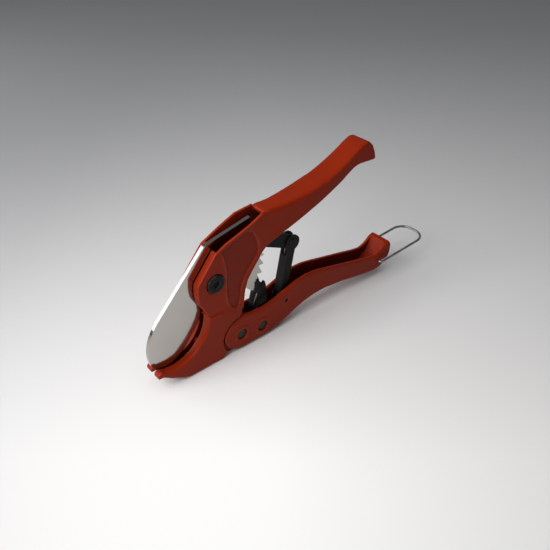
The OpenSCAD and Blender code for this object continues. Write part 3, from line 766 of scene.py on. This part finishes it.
def end_tree(tree, start, geometry):
    """Ends a node tree in plain geometry with the finish from its input."""
    add, join = tree.nodes.new, tree.links.new
    real = add("GeometryNodeRealizeInstances")
    paint = add("GeometryNodeSetMaterial")
    end = add("NodeGroupOutput")
    join(geometry, real.inputs["Geometry"])
    join(real.outputs["Geometry"], paint.inputs["Geometry"])
    join(start.outputs["Finish"], paint.inputs["Material"])
    join(paint.outputs["Geometry"], end.inputs["Geometry"])


def wire_tree():
    """Node tree: the object's line of points becomes a round wire with closed ends."""
    tree = new_tree("bent_wire", {"Radius": "Float", "Step": "Float", "Sides": "Int"})
    add, join = tree.nodes.new, tree.links.new
    start = add("NodeGroupInput")
    line = add("GeometryNodeMeshToCurve")
    flow = add("GeometryNodeCurveSplineType")
    flow.spline_type = "CATMULL_ROM"
    even = add("GeometryNodeResampleCurve")
    even.mode = "LENGTH"
    round_end = add("GeometryNodeCurvePrimitiveCircle")
    sweep = add("GeometryNodeCurveToMesh")
    sweep.inputs["Fill Caps"].default_value = True
    smooth = add("GeometryNodeSetShadeSmooth")
    join(start.outputs["Geometry"], line.inputs["Mesh"])
    join(line.outputs["Curve"], flow.inputs["Curve"])
    join(flow.outputs["Curve"], even.inputs["Curve"])
    join(start.outputs["Step"], even.inputs["Length"])
    join(start.outputs["Sides"], round_end.inputs["Resolution"])
    join(start.outputs["Radius"], round_end.inputs["Radius"])
    join(even.outputs["Curve"], sweep.inputs["Curve"])
    join(round_end.outputs["Curve"], sweep.inputs["Profile Curve"])
    join(sweep.outputs["Mesh"], smooth.inputs["Geometry"])
    end_tree(tree, start, smooth.outputs["Geometry"])
    return tree


def head_tree():
    """Node tree: half rivets set on the object's points, each turned to face outwards."""
    tree = new_tree("rivet_set", {"Half rivet": "Object"})
    add, join = tree.nodes.new, tree.links.new
    start = add("NodeGroupInput")
    shape = add("GeometryNodeObjectInfo")
    facing = add("GeometryNodeInputNamedAttribute")
    facing.data_type = "FLOAT_VECTOR"
    facing.inputs["Name"].default_value = "facing"
    aim = add("FunctionNodeAlignRotationToVector")
    aim.axis = "Z"
    spread = add("GeometryNodeInstanceOnPoints")
    join(start.outputs["Half rivet"], shape.inputs["Object"])
    join(facing.outputs["Attribute"], aim.inputs["Vector"])
    join(start.outputs["Geometry"], spread.inputs["Points"])
    join(shape.outputs["Geometry"], spread.inputs["Instance"])
    join(aim.outputs["Rotation"], spread.inputs["Rotation"])
    end_tree(tree, start, spread.outputs["Instances"])
    return tree


def run_tree(made, tree, values):
    """Runs a node tree on an object with its inputs set by identifier, and keeps the plain mesh."""
    modifier = made.modifiers.new(tree.name, "NODES")
    modifier.node_group = tree
    names = {s.name: s.identifier for s in tree.interface.items_tree if s.in_out == "INPUT"}
    for name, value in values.items():
        modifier[names[name]] = value
    return baked(made)


def bent_wire(name, points, diameter, tree, material, step=0.4 * MM, sides=14):
    """A wire of a diameter along a line of points."""
    mesh = bpy.data.meshes.new(name)
    mesh.from_pydata([tuple(p) for p in points], [(i, i + 1) for i in range(len(points) - 1)], [])
    made = link_object(name, mesh)
    values = {"Radius": diameter / 2, "Step": step, "Sides": sides, "Finish": material}
    return run_tree(made, tree, values)


def coil(centre, radius, y0, y1, a0, a1, count):
    """Points of a coil about the Y axis, angles in degrees from +X towards +Z."""
    points = []
    for i in range(count + 1):
        t = i / count
        a = math.radians(a0 + (a1 - a0) * t)
        points.append(centre + Vector((radius * math.cos(a), y0 + (y1 - y0) * t, radius * math.sin(a))))
    return points


def pawl_spring_points():
    """Short rear leg, coil round the pawl's rivet, front leg up the pawl's web."""
    radius, half, wire_gap = 4.8 * MM, 1.45 * MM, 0.75 * MM
    tooth_r, tooth_turn, stop_short = 49.8 * MM, math.radians(-26.5), 10.0 * MM
    leg_end, leg_start, leg_drop, first_turn, last_turn = 5.4 * MM, 2.4 * MM, 0.1 * MM, 270.0, -180.0
    bend, foot_aside, tip_aside = Vector((-5.3, -1.5, 6.0)) * MM, -1.55 * MM, -2.9 * MM
    tip = PIVOT + tooth_r * Vector((math.cos(tooth_turn), 0.0, math.sin(tooth_turn)))
    foot = PAWL_AT + Vector((-3.2, 0.0, 15.0)) * MM
    rise = (tip - foot).normalized()
    clear = Vector((-rise.z, 0.0, rise.x)) * wire_gap
    points = [PAWL_AT + Vector((leg_end, half, -radius - leg_drop))]
    points += [PAWL_AT + Vector((leg_start, half, -radius))]
    points += coil(PAWL_AT, radius, half, -half, first_turn, last_turn, count=30)
    points += [PAWL_AT + bend]
    points += [foot + rise * MM + clear + Vector((0.0, foot_aside, 0.0))]
    points += [tip - stop_short * rise + clear + Vector((0.0, tip_aside, 0.0))]
    return points


def knuckle_spring_points():
    """Leg inside the arm, coil round the knuckle's pin, short leg along the link."""
    radius, half, web_gap = 3.2 * MM, 1.4 * MM, 1.5 * MM
    leg_end, leg_start, link_leg = 24.0 * MM, 11.0 * MM, 7.5 * MM
    arm = (KNUCKLE - ARM_AT).normalized()
    link = (STUB_AT - KNUCKLE).normalized()
    arm_front = Vector((-arm.z, 0.0, arm.x))
    link_up = Vector((link.z, 0.0, -link.x))
    first_turn = math.degrees(math.atan2(arm.z, arm.x)) + 105.0
    last_turn = math.degrees(math.atan2(link.z, link.x)) - 630.0
    aside = Vector((0.0, half, 0.0))
    points = [KNUCKLE - leg_end * arm + web_gap * arm_front + aside]
    points += [KNUCKLE - leg_start * arm + web_gap * arm_front + aside]
    points += coil(KNUCKLE, radius, half, -half, first_turn, last_turn, count=44)
    points += [KNUCKLE + link_leg * link - radius * link_up - aside]
    return points


def arc_points(centre, radius, a0, a1, count):
    """Points of an arc seen from above, angles in degrees from +X towards +Y."""
    points = []
    for i in range(count + 1):
        a = math.radians(a0 + (a1 - a0) * i / count)
        points.append(centre + Vector((radius * math.cos(a), radius * math.sin(a), 0.0)))
    return points


def bail_points(diameter):
    """One closed run of the bail: foot, leg, two rounded corners, leg, foot."""
    leg, corner, bend, reach = 14.5 * MM, 12.0 * MM, 2.5 * MM, 63.0 * MM
    cross = reach - diameter / 2
    foot_from, foot_to = 8.6 * MM, leg - bend - 0.4 * MM
    droop = math.radians(-3.0)
    half = [BAIL_AT + Vector((0.0, foot_from, 0.0)), BAIL_AT + Vector((0.0, foot_to, 0.0))]
    half += arc_points(BAIL_AT + Vector((bend, leg - bend, 0.0)), bend, 180.0, 90.0, count=8)
    for share in (0.25, 0.5, 0.75):
        half += [BAIL_AT + Vector((bend + share * (cross - corner - bend), leg, 0.0))]
    half += arc_points(BAIL_AT + Vector((cross - corner, leg - corner, 0.0)), corner, 90.0, 0.0, count=14)
    other = [Vector((p.x, -p.y, p.z)) for p in reversed(half)]
    tilt = Matrix.Rotation(droop, 3, "Y")
    return [BAIL_AT + tilt @ (p - BAIL_AT) for p in half + other]


def half_rivet(shank, seat, head, height):
    """Half a rivet about +Z, open at its middle: shank, flat underside, rolled rim and low crown."""
    ease, roll, steps, crease = 0.15 * MM, 1.5 * MM, 8, math.radians(50)
    rim_share, crown_share, dome_share = 0.45, 0.4, 0.15
    shoulder = seat + rim_share * height
    rows = [(shank, 0.0), (shank, seat), (head - ease, seat), (head, seat + ease), (head, shoulder)]
    for i in range(1, steps + 1):
        a = math.pi / 2 * i / steps
        rows.append((head - roll * (1 - math.cos(a)), shoulder + crown_share * height * math.sin(a)))
    flat = seat + (rim_share + crown_share) * height
    for share in (0.75, 0.45, 0.2):
        rows.append((share * (head - roll), flat + dome_share * height * (1 - share * share)))
    rows.append((0.0, seat + height))
    work = bmesh.new()
    ring = [work.verts.new((r, 0.0, z)) for r, z in rows]
    line = [work.edges.new((ring[i], ring[i + 1])) for i in range(len(ring) - 1)]
    bmesh.ops.spin(
        work, geom=ring + line, cent=(0.0, 0.0, 0.0), axis=(0.0, 0.0, 1.0), angle=2 * math.pi, steps=48,
        use_merge=True)
    merge_points(work, gap=0.002 * MM)
    mesh = bpy.data.meshes.new("half_rivet")
    work.to_mesh(mesh)
    work.free()
    mesh.shade_smooth()
    mesh.set_sharp_from_angle(angle=crease)
    store(mesh, "turned", [math.hypot(v.co.x, v.co.y) for v in mesh.vertices])
    return link_object("half_rivet", mesh)


def rivet(node, tree, material):
    """A full rivet at a node's place and size, as two half rivets back to back."""
    low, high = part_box(node)
    middle = (low + high) / 2
    head_share, height, shank = 0.43, 1.2 * MM, 3.0 * MM
    seat = (high.y - low.y) / 2 - height
    half = half_rivet(shank, seat, head_share * (high.x - low.x), height)
    mesh = bpy.data.meshes.new(node + "_piece")
    mesh.from_pydata([tuple(middle), tuple(middle)], [], [])
    facing = mesh.attributes.new("facing", "FLOAT_VECTOR", "POINT")
    facing.data.foreach_set("vector", (0.0, -1.0, 0.0, 0.0, 1.0, 0.0))
    made = link_object(node + "_piece", mesh)
    run_tree(made, tree, {"Half rivet": half, "Finish": material})
    bpy.data.objects.remove(half)
    work = bmesh.new()
    work.from_mesh(made.data)
    merge_points(work, gap=0.002 * MM)
    work.to_mesh(made.data)
    work.free()
    return made


class CUTTER_OT_castings(Operator):
    """Rounds and paints the body casting and the lower handle"""
    bl_idname = "cutter.castings"
    bl_label = "Castings"

    def execute(self, context):
        looks = context.scene.cutter.casting
        material = red_paint(looks)
        made = cast_skin("body_casting", looks, material, body_extras, body_shape)
        dressed(made, "body_casting", "frame")
        made = cast_skin("lower_handle", looks, material, rivet_bosses, raised_lip)
        dressed(made, "lower_handle", "lower_handle")
        return {"FINISHED"}


class CUTTER_OT_blade(Operator):
    """Breaks the blade's edges and polishes it"""
    bl_idname = "cutter.blade"
    bl_label = "Blade"

    def execute(self, context):
        looks = context.scene.cutter.steel
        edge_turn, edge_offset, bevel = math.radians(232.0), 11.0 * MM, 9.0 * MM
        spine_break = 0.06 * MM
        material = polished_steel(looks, edge_turn, edge_offset, bevel)
        made = stamped_piece("blade", looks, material, spine_break)
        dressed(made, "blade", "blade")
        return {"FINISHED"}


class CUTTER_OT_plates(Operator):
    """Breaks the edges of the folded plates and the screw, and blackens them"""
    bl_idname = "cutter.plates"
    bl_label = "Black plates and screw"

    def execute(self, context):
        looks = context.scene.cutter.steel
        material = black_oxide(looks)
        for node, body in (
                ("pawl", "pawl"), ("spring_arm", "spring_arm"), ("spring_link", "spring_link"),
                ("pivot_screw", "frame"), ("pivot_nut", "frame"), ("arm_pin", "lower_handle"),
                ("knuckle_pin", "spring_arm")):
            dressed(stamped_piece(node, looks, material), node, body)
        return {"FINISHED"}


class CUTTER_OT_rivets(Operator):
    """Sets the hinge rivet and the pawl rivet"""
    bl_idname = "cutter.rivets"
    bl_label = "Rivets"

    def execute(self, context):
        looks = context.scene.cutter.steel
        material = turned_steel(looks)
        tree = head_tree()
        dressed(rivet("hinge_rivet", tree, material), "hinge_rivet", "frame")
        dressed(rivet("pawl_rivet", tree, material), "pawl_rivet", "lower_handle")
        return {"FINISHED"}


class CUTTER_OT_wires(Operator):
    """Winds the two springs and bends the bail"""
    bl_idname = "cutter.wires"
    bl_label = "Springs and bail"

    def execute(self, context):
        sizes = context.scene.cutter.wire
        material = drawn_steel(context.scene.cutter.steel)
        tree = wire_tree()
        made = bent_wire("pawl_spring_wire", pawl_spring_points(), sizes.pawl_d, tree, material)
        dressed(made, "pawl_spring", "pawl")
        made = bent_wire("knuckle_spring_wire", knuckle_spring_points(), sizes.knuckle_d, tree, material)
        dressed(made, "knuckle_spring", "spring_arm")
        points = bail_points(sizes.bail_d)
        made = bent_wire("bail_wire", points, sizes.bail_d, tree, material, step=0.8 * MM, sides=20)
        dressed(made, "wire_bail", "bail")
        return {"FINISHED"}


class CUTTER_OT_washers(Operator):
    """Plates the washers, spacers and bush"""
    bl_idname = "cutter.washers"
    bl_label = "Washers and spacers"

    def execute(self, context):
        looks = context.scene.cutter.steel
        material = zinc_plate(looks)
        washer_break = 0.12 * MM
        for node, body in (
                ("blade_washers", "blade"), ("hinge_washers", "lower_handle"),
                ("pawl_spacers", "lower_handle"), ("arm_spacers", "lower_handle"),
                ("pivot_bush", "frame"), ("lock_washer", "frame")):
            dressed(stamped_piece(node, looks, material, washer_break), node, body)
        return {"FINISHED"}


def studio_floor(looks):
    """Pale sheet with painted light fall-off: painted darker to grey away from the viewer, and painted shade
    on the left near the key.
    """
    finish = Finish("studio_sheet")
    ahead = (math.sin(CAMERA_YAW), math.cos(CAMERA_YAW), 0.0)
    aside = (ahead[1], -ahead[0], 0.0)
    start = (CAMERA_AT.x, CAMERA_AT.y, 0.0)
    here = finish.place(centre=start)
    far_painted_shade, near_at, painted_falloff, rest = (0.375, 0.38, 0.39), 0.26, -1.55, 0.20
    left_shade_slope, left_shade_depth = -4.0, 0.44
    # Painted light fall-off away from the viewer, and painted shade on the left
    away = finish.reach(here, ahead)
    fade = finish.node("ShaderNodeMath", {"operation": "EXPONENT"}, {0: (away - near_at) * painted_falloff})
    left_painted_shade = (finish.reach(here, aside) * left_shade_slope).held()
    share = ((fade - rest) / (1.0 - rest)).held() * (1.0 - left_shade_depth * left_painted_shade)
    paper = finish.noise(here, scale=900.0, detail=2.0)
    colour = finish.mix(share, far_painted_shade, tuple(looks.floor))
    finish.set(Base_Color=colour, Roughness=(0.62 + 0.1 * paper).held(), Specular_IOR_Level=0.15)
    return finish.material


def softbox(name, place, target, size, power):
    """A rectangular lamp that faces a target."""
    lamp = bpy.data.lights.new(name, "AREA")
    lamp.shape = "RECTANGLE"
    lamp.size, lamp.size_y = size
    lamp.energy = power
    made = link_object(name, lamp)
    made.location = place
    made.rotation_euler = (Vector(target) - Vector(place)).to_track_quat("-Z", "Y").to_euler()
    return made


class CUTTER_OT_stage(Operator):
    """Lays the floor, sets the lights and the camera"""
    bl_idname = "cutter.stage"
    bl_label = "Stage"

    def execute(self, context):
        scene = context.scene
        looks = scene.cutter.stage
        side, sky_colour, aim = 6.0, (0.95, 0.97, 1.0, 1.0), (-0.01, 0.0, 0.07)
        key_at, key_aim, key_size = (-0.47, -0.02, 0.43), (-0.06, -0.03, 0.05), (0.5, 0.4)
        top_at, top_size = (0.05, -0.05, 1.5), (1.3, 1.3)
        back_at, back_size = (-0.75, 0.85, 0.50), (1.0, 0.7)
        mesh = bpy.data.meshes.new("floor")
        corners = [(-side, -side, 0.0), (side, -side, 0.0), (side, side, 0.0), (-side, side, 0.0)]
        mesh.from_pydata(corners, [], [(0, 1, 2, 3)])
        mesh.materials.append(studio_floor(looks))
        link_object("floor", mesh)
        world = bpy.data.worlds.new("studio")
        world.use_nodes = True
        sky = world.node_tree.nodes["Background"]
        sky.inputs["Color"].default_value = sky_colour
        sky.inputs["Strength"].default_value = looks.ambient
        scene.world = world
        key = softbox("key", key_at, key_aim, key_size, looks.key)
        key.data.spread = math.radians(95.0)
        overhead = softbox("top", top_at, aim, top_size, looks.top)
        overhead.visible_glossy = False
        softbox("back", back_at, aim, back_size, looks.back)
        lens = bpy.data.cameras.new("camera")
        lens.sensor_width = SENSOR
        lens.lens = CAMERA_FOCAL_PIXELS / IMAGE_SIDE * SENSOR
        lens.clip_start = 0.01
        camera = link_object("camera", lens)
        camera.location = CAMERA_AT
        camera.rotation_euler = (CAMERA_PITCH, 0.0, -CAMERA_YAW)
        scene.camera = camera
        scene.view_settings.view_transform = "Standard"
        return {"FINISHED"}


class CUTTER_PT_panel(Panel):
    """Lists the cutter's steps and looks"""
    bl_idname = "CUTTER_PT_panel"
    bl_label = "Pipe cutter"
    bl_space_type = "VIEW_3D"
    bl_region_type = "UI"
    bl_category = "Cutter"

    def draw(self, context):
        looks = context.scene.cutter
        for group in (looks.casting, looks.steel, looks.wire, looks.stage):
            box = self.layout.box()
            for name in group.__annotations__:
                box.prop(group, name)
        for step in STEPS:
            self.layout.operator(step.bl_idname)


STEPS = (
    CUTTER_OT_stage,
    CUTTER_OT_castings,
    CUTTER_OT_blade,
    CUTTER_OT_plates,
    CUTTER_OT_rivets,
    CUTTER_OT_wires,
    CUTTER_OT_washers,
)
CLASSES = (CastingLooks, SteelLooks, WireLooks, StageLooks, CutterLooks) + STEPS + (CUTTER_PT_panel,)


def register():
    """Registers every class, and the looks on the scene."""
    for item in CLASSES:
        bpy.utils.register_class(item)
    bpy.types.Scene.cutter = PointerProperty(type=CutterLooks)


def unregister():
    """Takes the looks and the classes out again."""
    del bpy.types.Scene.cutter
    for item in reversed(CLASSES):
        bpy.utils.unregister_class(item)


def main():
    """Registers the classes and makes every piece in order."""
    register()
    bpy.ops.cutter.stage()
    bpy.ops.cutter.castings()
    bpy.ops.cutter.blade()
    bpy.ops.cutter.plates()
    bpy.ops.cutter.rivets()
    bpy.ops.cutter.wires()
    bpy.ops.cutter.washers()


if __name__ == "__main__":
    main()
